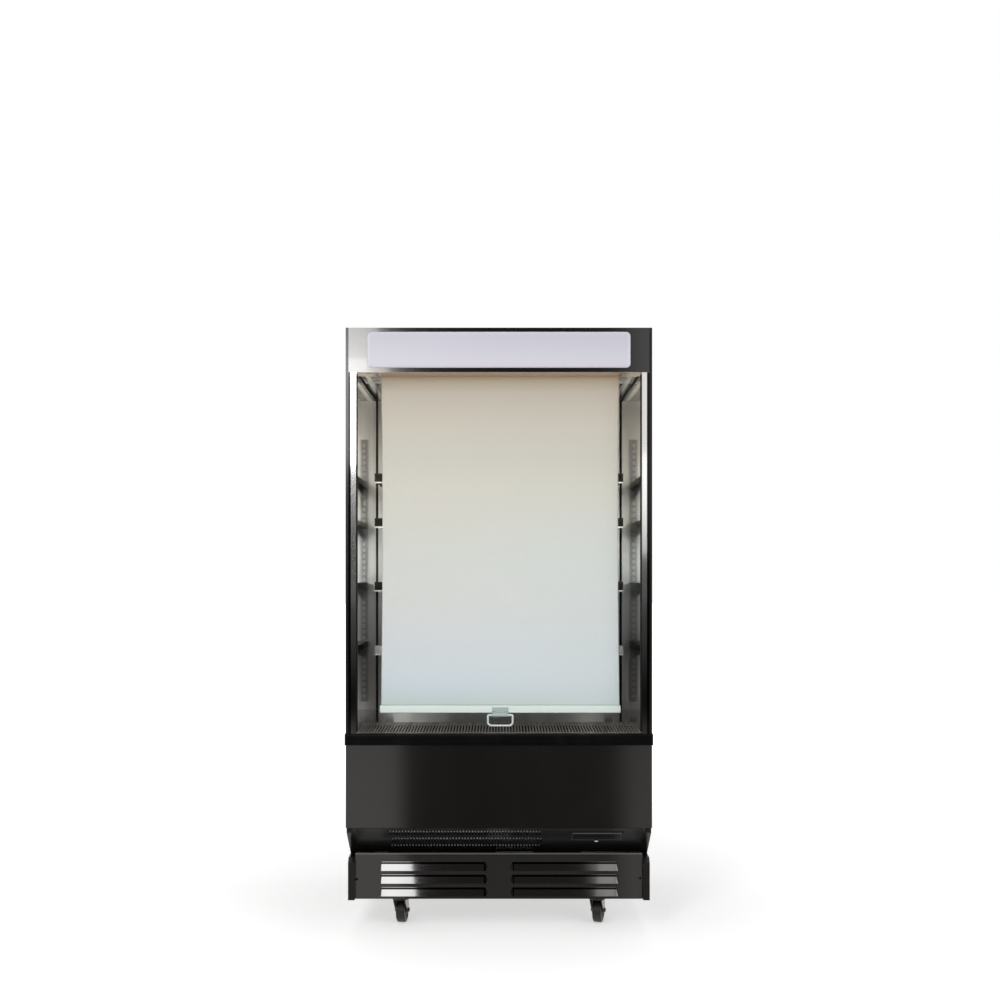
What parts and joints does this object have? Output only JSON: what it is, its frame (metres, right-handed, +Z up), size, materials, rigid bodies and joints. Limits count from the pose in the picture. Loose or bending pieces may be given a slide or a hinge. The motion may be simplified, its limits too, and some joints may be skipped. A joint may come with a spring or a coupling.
{
  "type": "open multideck display fridge",
  "caption": "Open-front multideck display fridge with a pull-down night curtain, shelves on slotted uprights, a louvred base and swivel casters.",
  "frame": {"origin": "on the floor, under the middle of the whole fridge", "axes": "+X to the right of someone facing the open front, +Y to the back, +Z up"},
  "size_m": [0.906, 0.7, 1.8],
  "materials": {
    "side_black": "gloss, plastic-coated sheet over foam",
    "mirror_lining": "mirror polished",
    "gloss_black": "gloss",
    "polished_steel": "mirror polished",
    "grille_steel": "satin",
    "bright_trim": "polished",
    "insulated_panel": "satin, plastic-coated sheet over foam",
    "galvanised_steel": "dull zinc",
    "bumper_rubber": "satin",
    "sign_acrylic": "opal",
    "lamp_white": "matt",
    "shelf_steel": "satin",
    "rail_dark": "satin",
    "rail_white": "satin",
    "outlet_plastic": "matt",
    "curtain_fabric": "fine woven",
    "curtain_metal": "satin",
    "handle_steel": "satin",
    "roller_bracket_black": "matt",
    "flap_dark": "gloss",
    "controller_plastic": "fine texture",
    "key_plastic": "satin",
    "caster_steel": "zinc plated",
    "wheel_rubber": "satin",
    "coil_aluminium": "finned",
    "fan_plastic": "moulded",
    "compressor_black": "satin"
  },
  "bodies": {
    "cabinet": {"side_panel_left": "side_black", "liner_left": "mirror_lining", "front_trim_left": "bright_trim", "side_panel_right": "side_black", "liner_right": "mirror_lining", "front_trim_right": "bright_trim", "base_tray": "galvanised_steel", "back_panel": "insulated_panel", "roof_panel": "insulated_panel", "tub": "insulated_panel", "lower_front_cover": "gloss_black", "bumper": "bumper_rubber", "canopy_fascia": "gloss_black", "sign_lens": "sign_acrylic", "sign_lamp": "lamp_white", "kick_plate": "gloss_black", "deck_pan": "polished_steel", "return_grille": "grille_steel", "duct_panel": "polished_steel", "ceiling_panel": "polished_steel", "air_outlet": "outlet_plastic", "shelf_uprights": "galvanised_steel", "shelf_1": "shelf_steel", "price_rail_1": "rail_dark", "shelf_2": "shelf_steel", "price_rail_2": "rail_dark", "shelf_3": "shelf_steel", "price_rail_3": "rail_dark", "shelf_4": "shelf_steel", "price_rail_4": "rail_white", "shelf_brackets": "galvanised_steel", "roller_brackets": "roller_bracket_black", "curtain_fabric": "curtain_fabric", "vent_panel": "gloss_black", "thermostat": "controller_plastic", "caster_plates": "caster_steel", "condenser": "coil_aluminium", "fan_shroud": "galvanised_steel", "compressor": "compressor_black", "rear_grille": "galvanised_steel", "evaporator": "coil_aluminium"},
    "curtain_bar": {"curtain_bottom_rail": "curtain_metal", "handle_plate": "handle_steel"},
    "curtain_roller": {"curtain_roller": "curtain_metal"},
    "handle_bail": {"handle_bail": "handle_steel"},
    "control_flap": {"control_flap": "flap_dark"},
    "key_down": {"key_down": "key_plastic"},
    "key_up": {"key_up": "key_plastic"},
    "key_set": {"key_set": "key_plastic"},
    "light_switch": {"light_switch": "key_plastic"},
    "condenser_fan": {"condenser_fan": "fan_plastic"},
    "evaporator_fan": {"evaporator_fan": "fan_plastic"},
    "fork_front_left": {"caster_fork_front_left": "caster_steel"},
    "wheel_front_left": {"caster_wheel_front_left": "wheel_rubber"},
    "fork_front_right": {"caster_fork_front_right": "caster_steel"},
    "wheel_front_right": {"caster_wheel_front_right": "wheel_rubber"},
    "fork_rear_left": {"caster_fork_rear_left": "caster_steel"},
    "wheel_rear_left": {"caster_wheel_rear_left": "wheel_rubber"},
    "fork_rear_right": {"caster_fork_rear_right": "caster_steel"},
    "wheel_rear_right": {"caster_wheel_rear_right": "wheel_rubber"}
  },
  "joints": [
    {"name": "curtain_slide", "type": "slide", "parent": "cabinet", "child": "curtain_bar", "axis": [0, 0, 1], "range_m": [0, 0.977], "deforming": ["curtain_fabric"]},
    {"name": "roller_spin", "type": "hinge", "parent": "cabinet", "child": "curtain_roller", "pos_m": [0, -0.2479, 1.712], "axis": [-1, 0, 0], "range_deg": [0, 2710]},
    {"name": "bail_swing", "type": "hinge", "parent": "curtain_bar", "child": "handle_bail", "pos_m": [0, -0.2786, 0.654], "axis": [-1, 0, 0], "range_deg": [-80, 170]},
    {"name": "flap_hinge", "type": "hinge", "parent": "cabinet", "child": "control_flap", "pos_m": [0.2895, -0.3261, 0.31124], "axis": [-1, 0, 0], "range_deg": [0, 110]},
    {"name": "key_down_press", "type": "slide", "parent": "cabinet", "child": "key_down", "axis": [0, 0.6763, 0.7366], "range_m": [0, 0.0008], "stiffness_N_per_m": 250, "springref_m": -0.0008},
    {"name": "key_up_press", "type": "slide", "parent": "cabinet", "child": "key_up", "axis": [0, 0.6763, 0.7366], "range_m": [0, 0.0008], "stiffness_N_per_m": 250, "springref_m": -0.0008},
    {"name": "key_set_press", "type": "slide", "parent": "cabinet", "child": "key_set", "axis": [0, 0.6763, 0.7366], "range_m": [0, 0.0008], "stiffness_N_per_m": 250, "springref_m": -0.0008},
    {"name": "light_switch_rock", "type": "hinge", "parent": "cabinet", "child": "light_switch", "pos_m": [0.341, -0.30475, 0.30277], "axis": [1, 0, 0], "range_deg": [0, 16]},
    {"name": "swivel_front_left", "type": "hinge", "parent": "cabinet", "child": "fork_front_left", "pos_m": [-0.302, -0.189, 0.09], "axis": [0, 0, 1], "continuous": true},
    {"name": "wheel_front_left", "type": "hinge", "parent": "fork_front_left", "child": "wheel_front_left", "pos_m": [-0.29895, -0.16419, 0.0375], "axis": [0.9925, -0.1219, 0], "continuous": true},
    {"name": "swivel_front_right", "type": "hinge", "parent": "cabinet", "child": "fork_front_right", "pos_m": [0.302, -0.189, 0.09], "axis": [0, 0, 1], "continuous": true},
    {"name": "wheel_front_right", "type": "hinge", "parent": "fork_front_right", "child": "wheel_front_right", "pos_m": [0.30847, -0.16485, 0.0375], "axis": [0.9659, -0.2588, 0], "continuous": true},
    {"name": "swivel_rear_left", "type": "hinge", "parent": "cabinet", "child": "fork_rear_left", "pos_m": [-0.302, 0.22, 0.09], "axis": [0, 0, 1], "continuous": true},
    {"name": "wheel_rear_left", "type": "hinge", "parent": "fork_rear_left", "child": "wheel_rear_left", "pos_m": [-0.302, 0.245, 0.0375], "axis": [1, 0, 0], "continuous": true},
    {"name": "swivel_rear_right", "type": "hinge", "parent": "cabinet", "child": "fork_rear_right", "pos_m": [0.302, 0.22, 0.09], "axis": [0, 0, 1], "continuous": true},
    {"name": "wheel_rear_right", "type": "hinge", "parent": "fork_rear_right", "child": "wheel_rear_right", "pos_m": [0.302, 0.245, 0.0375], "axis": [1, 0, 0], "continuous": true},
    {"name": "condenser_fan_spin", "type": "hinge", "parent": "cabinet", "child": "condenser_fan", "pos_m": [-0.175, -0.15375, 0.232], "axis": [0, 1, 0], "continuous": true},
    {"name": "evaporator_fan_spin", "type": "hinge", "parent": "cabinet", "child": "evaporator_fan", "pos_m": [0, 0.048, 0.52025], "axis": [0, 1, 0], "continuous": true}
  ],
  "couplings": [
    {"joint": "roller_spin", "follows": "curtain_slide", "rad_per_m": 48.309}
  ]
}
